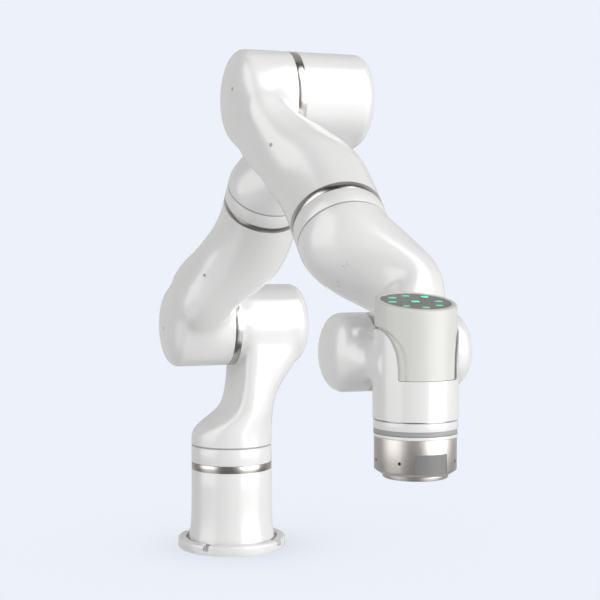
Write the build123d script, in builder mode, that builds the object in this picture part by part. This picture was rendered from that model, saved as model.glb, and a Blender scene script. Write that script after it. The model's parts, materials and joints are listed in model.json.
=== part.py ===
"""Seven-axis robot arm in one fixed pose, one STEP file per solid piece (mm).

The arm stands on the floor at z = 0 with Z up. Its shoulder, elbow and wrist axes lie along X,
and it reaches forward, towards -Y. Left is -X, right is +X. The tool axis points straight down.
"""
from build123d import *
import os
from math import sin, cos, radians, pi

# ---------------------------------------------------------------- driving dimensions
SHOULDER_HEIGHT = 320.0    # floor to shoulder axis (joint 2)
UPPER_LENGTH = 400.0       # shoulder axis to elbow axis (joint 4)
FORE_LENGTH = 420.0        # elbow axis to wrist axis (joint 6)
TOOL_OFFSET = 67.0         # wrist axis to tool axis (joint 7)
SHOULDER_ANGLE = 43.0      # degrees from vertical
ELBOW_ANGLE = 90.0         # degrees from the upper arm

BARREL_R = 58.0            # pedestal, shoulder and elbow barrels
UPPER_R = 52.0             # upper arm tube
FORE_R = 53.0              # forearm tube
WRIST_R = 39.5             # wrist barrel
COLUMN_R = 41.2            # tool column
WALL = 6.0                 # casting wall of the big links
WRIST_WALL = 5.0           # casting wall of the wrist parts
GAP = 0.3                  # running gap between links
FIT = 0.05                 # radial running clearance of the bearings
SMALL_GAP = 0.1            # clearance of parts seated in each other

# metal bands between links: width along the joint axis, and depth from the skin to the bore
BAND = 10.0
UPPER_BAND = 8.3
WRIST_BAND = 5.6
BAND_DEPTH = 10.0
WRIST_BAND_DEPTH = 9.0

# seats of the drive flanges in the castings
SEAT_STEP = 2.0            # seat radius beyond the bore
SEAT_DEPTH = 6.0

# joint interfaces: heights or distances along the link, x for the barrel joints
JOINT1_Z = SHOULDER_HEIGHT - 197.2
JOINT3_T = 233.3
JOINT5_T = 228.5
BARREL_JOINT_X = -9.0
WRIST_JOINT_X = -27.0

# ---------------------------------------------------------------- frames of the pose
X = Vector(1, 0, 0)
UP = Vector(0, 0, 1)
DOWN = Vector(0, 0, -1)


def arm_direction(angle):
    """Unit vector leaning forward from vertical by angle degrees."""
    return Vector(0, -sin(radians(angle)), cos(radians(angle)))


UPPER_DIR = arm_direction(SHOULDER_ANGLE)
FORE_DIR = arm_direction(SHOULDER_ANGLE + ELBOW_ANGLE)
SHOULDER = Vector(0, 0, SHOULDER_HEIGHT)
ELBOW = SHOULDER + UPPER_DIR * UPPER_LENGTH
WRIST = ELBOW + FORE_DIR * FORE_LENGTH
TOOL = WRIST + Vector(0, -TOOL_OFFSET, 0)      # on the tool axis, at wrist axis height

# planes across the links, offset along them
UPPER_PLANE = Plane(origin=SHOULDER, x_dir=X, z_dir=UPPER_DIR)
FORE_PLANE = Plane(origin=ELBOW, x_dir=X, z_dir=FORE_DIR)
TOOL_PLANE = Plane(origin=TOOL, x_dir=X, z_dir=DOWN)           # local y is forward

# planes facing forward, local y is up
WRIST_FRONT = Plane(origin=WRIST, x_dir=X, z_dir=(0, -1, 0))
TOOL_FRONT = Plane(origin=TOOL, x_dir=X, z_dir=(0, -1, 0))

# face of the key panel, tilted forward
PANEL_PLANE = Plane(origin=TOOL + UP * 52.4, x_dir=X, z_dir=arm_direction(11))


def barrel_plane(centre):
    """Plane whose local x is the barrel axis and local y a radius, for revolved barrels."""
    return Plane(origin=centre, x_dir=X, z_dir=(0, 1, 0))


def side_plane(centre, x, normal=X):
    """Plane across a barrel axis, at distance x from the barrel's centre."""
    return Plane(origin=centre + X * x, x_dir=(0, 1, 0), z_dir=normal)


# ---------------------------------------------------------------- shared helpers
os.makedirs("parts", exist_ok=True)


def save(part, name):
    part.label = name
    export_step(part, "parts/" + name + ".step")


def save_ring(name, plane, start, length, outer_r, inner_r):
    with BuildPart() as ring:
        with BuildSketch(plane.offset(start)):
            Circle(outer_r)
            Circle(inner_r, mode=Mode.SUBTRACT)
        extrude(amount=length)
    save(ring.part, name)


def save_disc(name, plane, start, length, radius, place=(0, 0)):
    with BuildPart() as disc:
        with BuildSketch(plane.offset(start)):
            with Locations(place):
                Circle(radius)
        extrude(amount=length)
    save(disc.part, name)


def save_revolved(name, plane, axis, points):
    with BuildPart() as turned:
        with BuildSketch(plane):
            Polygon(*points, align=None)
        revolve(axis=axis)
    save(turned.part, name)


def oval(left, right, half_depth, roundness, centre_y=0.0, count=20):
    """Points of a rounded section between left and right; roundness 2 is an ellipse."""
    centre_x, half_width = (left + right) / 2, (right - left) / 2
    points = []
    for i in range(count):
        angle = 2 * pi * i / count
        c, s = cos(angle), sin(angle)
        points.append((
            centre_x + half_width * abs(c) ** (2 / roundness) * (1 if c >= 0 else -1),
            centre_y + half_depth * abs(s) ** (2 / roundness) * (1 if s >= 0 else -1),
        ))
    return points


def dome(rim_x, depth, radius, roundness=2.4, inset=0.0, steps=9):
    """Points (x, radius) of a rounded barrel end from rim to pole; depth is signed."""
    points = []
    for i in range(steps):
        angle = (pi / 2) * i / (steps - 1)
        along = sin(angle) ** (2 / roundness)
        across = cos(angle) ** (2 / roundness)
        points.append((
            rim_x + (abs(depth) - inset) * along * (1 if depth > 0 else -1),
            (radius - inset) * across if i < steps - 1 else 0.0,
        ))
    return points


def shrink(rows, inset):
    """Neck rows drawn inwards all round."""
    return [(t, left + inset, right - inset, depth - inset, roundness)
            for t, left, right, depth, roundness in rows]


# ---------------------------------------------------------------- base
FOOT_R = 77.5
FOOT_T = 14.0
FOOT_ROUND = 3.5           # rounded top edge of the foot
FOOT_SEAL_OUT = 66.0       # seal groove in the top of the foot
FOOT_SEAL_IN = 62.0
FOOT_SEAL_DEPTH = 4.0
FOOT_PITCH_D = 138.0
FOOT_HOLE_D = 6.6
SCREW_SLOT = 20.0          # length of the recesses between end centres
SCREW_SLOT_R = FOOT_PITCH_D / 2 + SCREW_SLOT / 2
SCREW_SLOT_W = 11.5
PEDESTAL_TOP = JOINT1_Z - BAND
PEDESTAL_BORE_R = 50.0
COVER_SEAT_R = BARREL_R - WALL + SEAT_STEP
COVER_SEAT_DEPTH = 4.0
COVER_START = 0.5
COVER_T = COVER_SEAT_DEPTH - COVER_START
COVER_SCREW_PLACE = 45.0
COVER_SCREW_R = 2.1
WINDOW_W, WINDOW_H, WINDOW_ROUND = 44, 30, 3
WINDOW_Z = 35

with BuildPart() as base_casing:
    with BuildSketch(Plane.XZ):
        with BuildLine():
            Polyline((0, 0), (FOOT_R - 1, 0), (FOOT_R, 1), (FOOT_R, FOOT_T - FOOT_ROUND))
            ThreePointArc((FOOT_R, FOOT_T - FOOT_ROUND), (FOOT_R - 1.03, FOOT_T - 1.03),
                          (FOOT_R - FOOT_ROUND, FOOT_T))
            Line((FOOT_R - FOOT_ROUND, FOOT_T), (FOOT_SEAL_OUT, FOOT_T))
            Polyline((FOOT_SEAL_OUT, FOOT_T), (FOOT_SEAL_OUT, FOOT_T - FOOT_SEAL_DEPTH),
                     (FOOT_SEAL_IN, FOOT_T - FOOT_SEAL_DEPTH), (FOOT_SEAL_IN, FOOT_T + 1.5))
            Spline((FOOT_SEAL_IN, FOOT_T + 1.5), (59.6, 30), (58.3, 52), (BARREL_R, 76),
                   tangents=((-0.25, 1), (0, 1)))
            Polyline((BARREL_R, 76), (BARREL_R, PEDESTAL_TOP), (0, PEDESTAL_TOP), (0, 0))
        make_face()
    revolve(axis=Axis.Z)
    # bore, with wider seats at the floor and at joint 1
    with BuildSketch(Plane.XY.offset(COVER_SEAT_DEPTH)):
        Circle(PEDESTAL_BORE_R)
    extrude(amount=PEDESTAL_TOP - COVER_SEAT_DEPTH - SEAT_DEPTH, mode=Mode.SUBTRACT)
    with BuildSketch(Plane.XY):
        Circle(COVER_SEAT_R)
    extrude(amount=COVER_SEAT_DEPTH, mode=Mode.SUBTRACT)
    with BuildSketch(Plane.XY.offset(PEDESTAL_TOP - SEAT_DEPTH)):
        Circle(COVER_SEAT_R)
    extrude(amount=SEAT_DEPTH, mode=Mode.SUBTRACT)
    # screw recesses open at the rim, with a clearance hole under each
    with BuildSketch(Plane.XY.offset(6)):
        with PolarLocations(SCREW_SLOT_R, 4, start_angle=45):
            SlotCenterToCenter(SCREW_SLOT, SCREW_SLOT_W)
    extrude(amount=FOOT_T, mode=Mode.SUBTRACT)
    with BuildSketch(Plane.XY):
        with PolarLocations(FOOT_PITCH_D / 2, 4, start_angle=45):
            Circle(FOOT_HOLE_D / 2)
    extrude(amount=8, mode=Mode.SUBTRACT)
    # window for the connector block at the back of the pedestal
    with BuildSketch(Plane(origin=(0, 0, WINDOW_Z), x_dir=(1, 0, 0), z_dir=(0, 1, 0))):
        RectangleRounded(WINDOW_W, WINDOW_H, WINDOW_ROUND)
    extrude(amount=80, mode=Mode.SUBTRACT)
save(base_casing.part, "base_casing")

with BuildPart() as base_cover:
    with BuildSketch(Plane.XY.offset(COVER_START)):
        Circle(COVER_SEAT_R - 0.2)
        with PolarLocations(COVER_SCREW_PLACE, 4):
            Circle(COVER_SCREW_R + SMALL_GAP, mode=Mode.SUBTRACT)
    extrude(amount=COVER_T)
save(base_cover.part, "base_cover")

with BuildPart() as base_cover_screws:
    with BuildSketch(Plane.XY.offset(COVER_START)):
        with PolarLocations(COVER_SCREW_PLACE, 4):
            Circle(COVER_SCREW_R)
    extrude(amount=COVER_T)
save(base_cover_screws.part, "base_cover_screws")

with BuildPart() as foot_seal:
    with BuildSketch(Plane.XY.offset(FOOT_T - FOOT_SEAL_DEPTH)):
        Circle(FOOT_SEAL_OUT - SMALL_GAP)
        Circle(FOOT_SEAL_IN + SMALL_GAP, mode=Mode.SUBTRACT)
        with PolarLocations(SCREW_SLOT_R, 4, start_angle=45):
            SlotCenterToCenter(SCREW_SLOT, SCREW_SLOT_W + 0.2, mode=Mode.SUBTRACT)
    extrude(amount=2.2)
save(foot_seal.part, "foot_seal")

# connector block facing back: x, outer radius and bore radius of its two sockets
SOCKETS = [(-9, 9.5, 7.5), (13, 5.5, 4)]
BACK_PLANE = Plane(origin=(0, 52.5, WINDOW_Z), x_dir=(1, 0, 0), z_dir=(0, 1, 0))
with BuildPart() as base_connector:
    with BuildSketch(BACK_PLANE.offset(-8)):
        RectangleRounded(WINDOW_W - 0.4, WINDOW_H - 0.4, WINDOW_ROUND - 0.2)
    extrude(amount=10)
    with BuildSketch(BACK_PLANE.offset(2)):
        for x, outer_r, bore_r in SOCKETS:
            with Locations((x, 0)):
                Circle(outer_r)
    extrude(amount=5)
    with BuildSketch(BACK_PLANE.offset(7)):
        for x, outer_r, bore_r in SOCKETS:
            with Locations((x, 0)):
                Circle(bore_r)
    extrude(amount=-9, mode=Mode.SUBTRACT)
save(base_connector.part, "base_connector")

# ---------------------------------------------------------------- metal bands of the joints
# name, plane across the joint axis, interface furthest along it, band width, skin radius, depth
BANDS = [
    ("j1_band", Plane.XY, JOINT1_Z, BAND, BARREL_R, BAND_DEPTH),
    ("j3_band", UPPER_PLANE, JOINT3_T, UPPER_BAND, UPPER_R, BAND_DEPTH),
    ("j5_band", FORE_PLANE, JOINT5_T, BAND, FORE_R, BAND_DEPTH),
    ("j2_ring", side_plane(SHOULDER, 0), BARREL_JOINT_X + BAND, BAND, BARREL_R, BAND_DEPTH),
    ("j4_ring", side_plane(ELBOW, 0), BARREL_JOINT_X + BAND, BAND, BARREL_R, BAND_DEPTH),
    ("j6_ring", side_plane(WRIST, 0), WRIST_JOINT_X + WRIST_BAND, WRIST_BAND, WRIST_R,
     WRIST_BAND_DEPTH),
]
for name, plane, end, width, radius, depth in BANDS:
    save_ring(name, plane, end - width, width, radius - SMALL_GAP, radius - depth)

# ---------------------------------------------------------------- links 1 to 5
# neck sections: distance along the link, left edge, right edge, half depth, roundness
NECK1 = [
    (167, -58, 58, 58, 2.0), (177.5, -45, 58, 57.6, 2.0), (186, -29.7, 58, 57, 2.05),
    (195, -14, 58, 56.5, 2.1), (211, -3.2, 59, 56, 2.15), (227, 1.3, 64, 56, 2.2),
    (243, 3, 73, 56, 2.3), (258, 3.5, 83, 56.3, 2.4), (275, 3, 84, 56.6, 2.4),
    (297, 2.5, 84, 57, 2.4), (320, 2, 84, 57.3, 2.4),
]
NECK2 = [
    (205, -52, 52, 52, 2.0), (190, -53.5, 51.5, 52, 2.0), (172, -57, 50.5, 52, 2.0),
    (158, -61.2, 49.1, 52, 2.0), (146, -66, 47.5, 52.3, 2.0), (132, -71, 42.5, 53, 2.05),
    (120, -74.8, 34.5, 53.7, 2.1), (104, -81, 17, 54.5, 2.2), (91.7, -86, 4, 55.2, 2.3),
    (79, -91, -4.5, 55.8, 2.35), (65, -96, -9.8, 56.5, 2.4), (50, -99, -11.2, 57, 2.4),
    (25, -100.5, -11.3, 57.2, 2.4), (0, -100.8, -11.3, 57.3, 2.4),
]
NECK3 = [
    (262, -52, 52, 52, 2.0), (271, -49.5, 53.2, 52.1, 2.0), (281, -44, 55.6, 52.4, 2.0),
    (295, -33, 58.9, 53, 2.05), (309, -17.6, 62.4, 53.7, 2.1), (320, -4.5, 66, 54.3, 2.15),
    (335, 2.5, 71.2, 55, 2.25), (350, 3, 74, 55.8, 2.35), (366, 2.8, 74.6, 56.5, 2.4),
    (384, 2.5, 74.6, 57, 2.4), (400, 2, 74.6, 57.3, 2.4),
]
NECK4 = [
    (205, -53, 53, 53, 2.0), (188, -53.5, 52.8, 53, 2.0), (166, -55.8, 52.3, 53, 2.0),
    (140, -62.3, 50.2, 53.5, 2.0), (127, -65.5, 48.3, 53.8, 2.05), (112, -68.6, 43.5, 54.3, 2.1),
    (98, -70.8, 33, 55, 2.2), (84, -72.7, 16, 55.6, 2.25), (70, -74.4, -1, 56.3, 2.35),
    (58, -76, -10, 56.8, 2.4), (40, -79, -11.6, 57.1, 2.4), (20, -81.5, -11.6, 57.2, 2.4),
    (0, -82.5, -11.6, 57.3, 2.4),
]
NECK5 = [
    (258, -53, 53, 53, 2.0), (267, -52.8, 58, 52, 2.0), (285, -47, 66, 50, 2.0),
    (301, -33, 71.5, 48, 2.0), (317, -10, 73.5, 46, 2.05), (330, 5, 74, 44.5, 2.1),
    (346, 14, 74, 42.3, 2.2), (362, 8, 73, 40.6, 2.3), (380, -8, 68, 39.3, 2.35),
    (400, -19, 62, 38.9, 2.4), (420, -19.5, 62, 38.8, 2.4),
]
NECK_STEP = 0.22           # how far the neck's first section sits inside the tube
GROOVE_W = 2.6             # seal groove round a tube
GROOVE_DEPTH = 1.4


def link_casing(name, link_plane, neck, tube_r, tube_start, centre, open_x, rim_x, barrel_r,
                wall=WALL, dome_depth=None, groove=None, bore_overrun=0.2):
    """A hollow cast link: a round tube, a neck that flows to one side and a barrel across its end.

    open_x is the joint face of the barrel and rim_x its far end, which is rounded when
    dome_depth is given and otherwise left open for a separate cap. bore_overrun is how far
    the tube's bore runs into the neck."""
    barrel = barrel_plane(centre)
    axis = Axis(centre, X)
    neck_start = neck[0][0]
    low, high = min(tube_start, neck_start), max(tube_start, neck_start)
    side = 1 if rim_x > open_x else -1
    link_way = 1 if neck_start > tube_start else -1
    below, above = (1, bore_overrun) if link_way > 0 else (bore_overrun, 1)
    # solid body first, then its hollow:
    # mode, tube radius, tube start, tube length, neck rows, barrel inset
    bodies = [
        (Mode.ADD, tube_r, low, high - low, shrink(neck[:1], NECK_STEP) + neck[1:], 0.0),
        (Mode.SUBTRACT, tube_r - wall - 0.3, low - below, high - low + below + above,
         shrink(neck, wall), wall),
    ]
    with BuildPart() as casing:
        for mode, radius, start, length, rows, inset in bodies:
            with BuildSketch(link_plane.offset(start)):
                Circle(radius)
            extrude(amount=length, mode=mode)
            for t, left, right, half_depth, roundness in rows:
                with BuildSketch(link_plane.offset(t)):
                    with BuildLine():
                        Spline(*oval(left, right, half_depth, roundness), periodic=True)
                    make_face()
            loft(mode=mode)
            skin_r = barrel_r - inset
            with BuildSketch(barrel):
                if dome_depth is None:
                    Polygon((open_x, 0), (open_x, skin_r), (rim_x, skin_r), (rim_x, 0),
                            align=None)
                else:
                    with BuildLine():
                        Polyline((open_x, 0), (open_x, skin_r), (rim_x, skin_r))
                        Spline(*dome(rim_x, dome_depth, barrel_r, inset=inset),
                               tangents=((side, 0), (0, -1)))
                        Line((rim_x + dome_depth - side * inset, 0), (open_x, 0))
                    make_face()
            revolve(axis=axis, mode=mode)
            # trim the neck flush with the open barrel end
            if dome_depth is None and mode == Mode.ADD:
                with BuildSketch(side_plane(centre, rim_x)):
                    Circle(barrel_r + 8)
                extrude(amount=40, mode=Mode.SUBTRACT)
        # seats for the drive flanges, at the barrel and at the tube end
        with BuildSketch(side_plane(centre, open_x, X * side)):
            Circle(barrel_r - wall + SEAT_STEP)
        extrude(amount=SEAT_DEPTH, mode=Mode.SUBTRACT)
        with BuildSketch(link_plane.offset(tube_start)):
            Circle(tube_r - wall + SEAT_STEP)
        extrude(amount=SEAT_DEPTH * link_way, mode=Mode.SUBTRACT)
        if groove is not None:
            with BuildSketch(link_plane.offset(groove - GROOVE_W / 2)):
                Circle(tube_r + 2)
                Circle(tube_r - GROOVE_DEPTH, mode=Mode.SUBTRACT)
            extrude(amount=GROOVE_W, mode=Mode.SUBTRACT)
    save(casing.part, name)


def tube_seal(name, plane, groove, tube_r):
    save_ring(name, plane, groove - GROOVE_W / 2, GROOVE_W, tube_r - 0.5, tube_r - GROOVE_DEPTH)


def barrel_cap(name, centre, rim_x, depth, radius, wall):
    """Rounded end cover of a barrel, with a spigot into the bore."""
    with BuildPart() as cap:
        for mode, inset in ((Mode.ADD, 0.0), (Mode.SUBTRACT, wall)):
            with BuildSketch(barrel_plane(centre)):
                with BuildLine():
                    Polyline((rim_x, 0), (rim_x, radius - inset))
                    Spline(*dome(rim_x, depth, radius, inset=inset),
                           tangents=((1, 0), (0, -1)))
                    Line((rim_x + depth - inset, 0), (rim_x, 0))
                make_face()
            revolve(axis=Axis(centre, X), mode=mode)
        # spigot: start x, length, growth beyond the bore radius
        for x, length, growth in ((rim_x, 2, 0.5), (rim_x - 5, 6, -SMALL_GAP)):
            with BuildSketch(side_plane(centre, x)):
                Circle(radius - wall + growth)
                Circle(radius - wall - 3, mode=Mode.SUBTRACT)
            extrude(amount=length)
    save(cap.part, name)


BARREL_FACE_X = BARREL_JOINT_X + BAND        # band side of the shoulder and elbow joints
BARREL_FAR_X = BARREL_JOINT_X - GAP          # moving side of the same joints
WRIST_FACE_X = WRIST_JOINT_X + WRIST_BAND
J1_GROOVE, J3_GROOVE, J5_GROOVE = 147.8, 254.5, 251.2
J2_CAP_X, J4_CAP_X, J6_CAP_X = 84.5, 76.0, 62.5

link_casing("link1_casing", Plane.XY, NECK1, BARREL_R, JOINT1_Z + GAP, SHOULDER,
            BARREL_FACE_X, J2_CAP_X, BARREL_R, groove=J1_GROOVE, bore_overrun=1.0)
tube_seal("j1_seal", Plane.XY, J1_GROOVE, BARREL_R)
barrel_cap("j2_cap", SHOULDER, J2_CAP_X, 25.0, BARREL_R, WALL)

link_casing("link2_casing", UPPER_PLANE, NECK2, UPPER_R, JOINT3_T - UPPER_BAND, SHOULDER,
            BARREL_FAR_X, -78.0, BARREL_R, dome_depth=-24.0)

link_casing("link3_casing", UPPER_PLANE, NECK3, UPPER_R, JOINT3_T + GAP, ELBOW,
            BARREL_FACE_X, J4_CAP_X, BARREL_R, groove=J3_GROOVE)
tube_seal("j3_seal", UPPER_PLANE, J3_GROOVE, UPPER_R)
barrel_cap("j4_cap", ELBOW, J4_CAP_X, 22.0, BARREL_R, WALL)

link_casing("link4_casing", FORE_PLANE, NECK4, FORE_R, JOINT5_T - BAND, ELBOW,
            BARREL_FAR_X, -60.0, BARREL_R, dome_depth=-24.0)

link_casing("link5_casing", FORE_PLANE, NECK5, FORE_R, JOINT5_T + GAP, WRIST,
            WRIST_FACE_X, J6_CAP_X, WRIST_R, wall=WRIST_WALL, groove=J5_GROOVE)
tube_seal("j5_seal", FORE_PLANE, J5_GROOVE, FORE_R)
barrel_cap("j6_cap", WRIST, J6_CAP_X, 21.5, WRIST_R, WRIST_WALL)

# ---------------------------------------------------------------- wrist
# forward distance, left, right, half height, height of centre, roundness
WRIST_NECK = [
    (0, -68.5, -28.5, 38.3, 0.0, 2.5), (14, -67.5, -28.0, 36.8, -0.5, 2.5),
    (28, -62.5, -27.8, 28.5, -1.5, 2.4), (41, -54.5, -26.5, 20.5, -3.5, 2.2),
    (52, -45, -10, 15.5, -5.5, 2.1), (64, -36, 6, 14.5, -6.5, 2.0),
]
# right half outline (x, height) of the grip cover seen from the front, and of its raised middle
COVER_EDGE = [(30, -24), (30.2, -8), (31.6, 6), (34.8, 17), (38.3, 24.5), (42, 28.5)]
COVER_RAISED = [(22.8, -24), (23, -8), (24.8, 6), (28.6, 15.5), (34.8, 24.2), (40, 29.5)]
COVER_CEILING = 70         # outlines run up to here, above the panel

ROTOR_FACE_X = WRIST_JOINT_X - GAP
ROTOR_RIM_X = -48
ROTOR_DOME = -21.5
# distances down the tool axis from wrist axis height
COLUMN_TOP = -27
COLUMN_END = 59.6
CORE_TOP = -45
CORE_R = 35.8
COLUMN_BORE_R = 35.0

cover_seat = [(x + GAP, z) for x, z in COVER_EDGE]
cover_seat[0] = (cover_seat[0][0], COVER_EDGE[0][1] - GAP)


def mirrored(points):
    return [(-x, z) for x, z in points]


with BuildPart() as wrist_casing:
    # rotor barrel of joint 6
    with BuildSketch(barrel_plane(WRIST)):
        with BuildLine():
            Polyline((ROTOR_FACE_X, 0), (ROTOR_FACE_X, WRIST_R), (ROTOR_RIM_X, WRIST_R))
            Spline(*dome(ROTOR_RIM_X, ROTOR_DOME, WRIST_R), tangents=((-1, 0), (0, -1)))
            Line((ROTOR_RIM_X + ROTOR_DOME, 0), (ROTOR_FACE_X, 0))
        make_face()
    revolve(axis=Axis(WRIST, X))
    # neck towards the tool column
    for forward, left, right, half_height, centre_z, roundness in WRIST_NECK:
        with BuildSketch(WRIST_FRONT.offset(forward)):
            with BuildLine():
                Spline(*oval(left, right, half_height, roundness, centre_y=centre_z),
                       periodic=True)
            make_face()
    loft()
    # tool column
    with BuildSketch(TOOL_PLANE.offset(COLUMN_TOP)):
        Circle(COLUMN_R)
    extrude(amount=COLUMN_END - COLUMN_TOP)
    # seat of the grip cover: its outline cut through the front, then the core put back
    with BuildSketch(TOOL_FRONT):
        with BuildLine():
            Spline(*cover_seat)
            Spline(*mirrored(cover_seat))
            Line(mirrored(cover_seat)[0], cover_seat[0])
            Line(mirrored(cover_seat)[-1], cover_seat[-1])
        make_face()
    extrude(amount=60, mode=Mode.SUBTRACT)
    with BuildSketch(TOOL_PLANE.offset(CORE_TOP)):
        Circle(CORE_R)
    extrude(amount=59 - CORE_TOP)
    # clearance round the stator barrel of joint 6, right of the joint face
    with BuildSketch(side_plane(WRIST, ROTOR_FACE_X)):
        Circle(WRIST_R + 1.5)
    extrude(amount=80, mode=Mode.SUBTRACT)
    # hollow of the barrel, and its drive seat
    with BuildSketch(barrel_plane(WRIST)):
        with BuildLine():
            Polyline((ROTOR_FACE_X, 0), (ROTOR_FACE_X, WRIST_R - WRIST_WALL),
                     (ROTOR_RIM_X, WRIST_R - WRIST_WALL))
            Spline(*dome(ROTOR_RIM_X, ROTOR_DOME, WRIST_R, inset=WRIST_WALL),
                   tangents=((-1, 0), (0, -1)))
            Line((ROTOR_RIM_X + ROTOR_DOME + WRIST_WALL, 0), (ROTOR_FACE_X, 0))
        make_face()
    revolve(axis=Axis(WRIST, X), mode=Mode.SUBTRACT)
    with BuildSketch(side_plane(WRIST, ROTOR_FACE_X, X * -1)):
        Circle(WRIST_R - WRIST_WALL + SEAT_STEP)
    extrude(amount=SEAT_DEPTH, mode=Mode.SUBTRACT)
    # column: lower bore, upper bore, hole between them, drive seat (start, radius, length)
    for start, radius, length in ((6, COLUMN_BORE_R, 60), (-46, 32, 41), (-6, 13, 14),
                                  (COLUMN_END - SEAT_DEPTH, COLUMN_BORE_R + SEAT_STEP, 8)):
        with BuildSketch(TOOL_PLANE.offset(start)):
            Circle(radius)
        extrude(amount=length, mode=Mode.SUBTRACT)
    # level under the tilted top of the cover
    with BuildSketch(PANEL_PLANE.offset(-6.2)):
        Circle(60)
    extrude(amount=30, mode=Mode.SUBTRACT)
save(wrist_casing.part, "wrist_casing")


def cover_blank(outline, radius):
    """Front outline of the cover carried through a cylinder round the tool axis."""
    other = mirrored(outline)
    with BuildPart() as blank:
        with BuildSketch(TOOL_FRONT.offset(-45)):
            with BuildLine():
                Spline(*outline)
                Spline(*other)
                Line(other[0], outline[0])
                Polyline(outline[-1], (outline[-1][0], COVER_CEILING),
                         (other[-1][0], COVER_CEILING), other[-1])
            make_face()
        extrude(amount=90)
        with BuildSketch(TOOL_PLANE.offset(-75)):
            Circle(radius)
        extrude(amount=110, mode=Mode.INTERSECT)
    return blank.part


# key panel: a centre key, with a side key and seven light marks on one pitch circle
PANEL_R = 34.2
PANEL_T = 2.6
MARK_PITCH_R = 24.0
MARK_LENGTH, MARK_W = 7.5, 3.6
MARK_DEPTH = 0.6
CENTRE_KEY_R = 6.3
SIDE_KEY_R = 4.3
SIDE_KEY = (MARK_PITCH_R * cos(radians(45)), MARK_PITCH_R * sin(radians(45)))

cover_edge = cover_blank(COVER_EDGE, 38.5)
cover_raised = cover_blank(COVER_RAISED, 39.5)
with BuildPart() as grip_cover:
    add(cover_edge)
    add(cover_raised)
    # only the collar above the column goes round the back
    with BuildSketch(TOOL_PLANE.offset(-28.5)):
        with Locations((0, -30)):
            Rectangle(100, 60)
    extrude(amount=70, mode=Mode.SUBTRACT)
    # clearance over the casting core, closed top under the panel
    with BuildSketch(TOOL_PLANE.offset(-80)):
        Circle(CORE_R + 0.2)
    extrude(amount=120, mode=Mode.SUBTRACT)
    with BuildSketch(PANEL_PLANE.offset(-6)):
        Circle(37.4)
    extrude(amount=6)
    # trim above the panel face, then the panel's recess
    with BuildSketch(PANEL_PLANE.offset(0.8)):
        Circle(80)
    extrude(amount=40, mode=Mode.SUBTRACT)
    with BuildSketch(PANEL_PLANE.offset(-PANEL_T)):
        Circle(PANEL_R + 0.2)
    extrude(amount=10, mode=Mode.SUBTRACT)
    # holes under the keys
    with BuildSketch(PANEL_PLANE.offset(-10)):
        Circle(12)
        with Locations(SIDE_KEY):
            Circle(4)
    extrude(amount=10, mode=Mode.SUBTRACT)
save(grip_cover.part, "grip_cover")

with BuildPart() as key_panel:
    with BuildSketch(PANEL_PLANE.offset(-PANEL_T)):
        Circle(PANEL_R)
        Circle(CENTRE_KEY_R + 0.2, mode=Mode.SUBTRACT)
        with Locations(SIDE_KEY):
            Circle(SIDE_KEY_R + 0.2, mode=Mode.SUBTRACT)
    extrude(amount=PANEL_T)
    # marks every 45 degrees, leaving out the side key's place
    with BuildSketch(PANEL_PLANE.offset(-MARK_DEPTH)):
        with PolarLocations(MARK_PITCH_R, 7, start_angle=90, angular_range=315):
            SlotOverall(MARK_LENGTH, MARK_W, rotation=90)
    extrude(amount=1, mode=Mode.SUBTRACT)
save(key_panel.part, "key_panel")

with BuildPart() as panel_lights:
    with BuildSketch(PANEL_PLANE.offset(-MARK_DEPTH)):
        with PolarLocations(MARK_PITCH_R, 7, start_angle=90, angular_range=315):
            SlotOverall(MARK_LENGTH - 0.02, MARK_W - 0.02, rotation=90)
    extrude(amount=MARK_DEPTH + 0.05)
save(panel_lights.part, "panel_lights")

save_disc("key_centre", PANEL_PLANE, -2.0, 2.5, CENTRE_KEY_R)
save_disc("key_side", PANEL_PLANE, -2.0, 2.5, SIDE_KEY_R, SIDE_KEY)

# ---------------------------------------------------------------- joint 7 and tool flange
# distances down the tool axis from wrist axis height
J7_BORE_R = 31.5
COLLAR_END = COLUMN_END + 8
JOINT7_T = 72.3
RING_END = 75.5
FLANGE_FACE = 115.0
FLANGE_SEAT_R = 34.1
FLANGE_BODY_R = 39.6
FLANGE_R = 31.5
TOOL_PITCH_R = 25          # tapped holes and dowel hole
CONNECTOR_T = 98.2
CONNECTOR_W, CONNECTOR_H = 32, 18.4
SET_SCREW_T = 97.5
SET_SCREW_R = 1.6
SET_SCREW_ANGLES = (-136, -184, -44, 4)      # degrees from +X towards +Y

save_ring("j7_collar", TOOL_PLANE, COLUMN_END, COLLAR_END - COLUMN_END, 40.6, J7_BORE_R)
save_ring("j7_seal", TOOL_PLANE, COLLAR_END, JOINT7_T - GAP - COLLAR_END, 40.2, J7_BORE_R)
save_ring("flange_ring", TOOL_PLANE, JOINT7_T, RING_END - JOINT7_T, 40.5, FLANGE_SEAT_R)


def set_screw_plane(angle, radius):
    """Plane facing outwards at a set screw, at a radius from the tool axis."""
    outward = Vector(cos(radians(angle)), sin(radians(angle)), 0)
    return Plane(origin=TOOL + DOWN * SET_SCREW_T + outward * radius, z_dir=outward)


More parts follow.
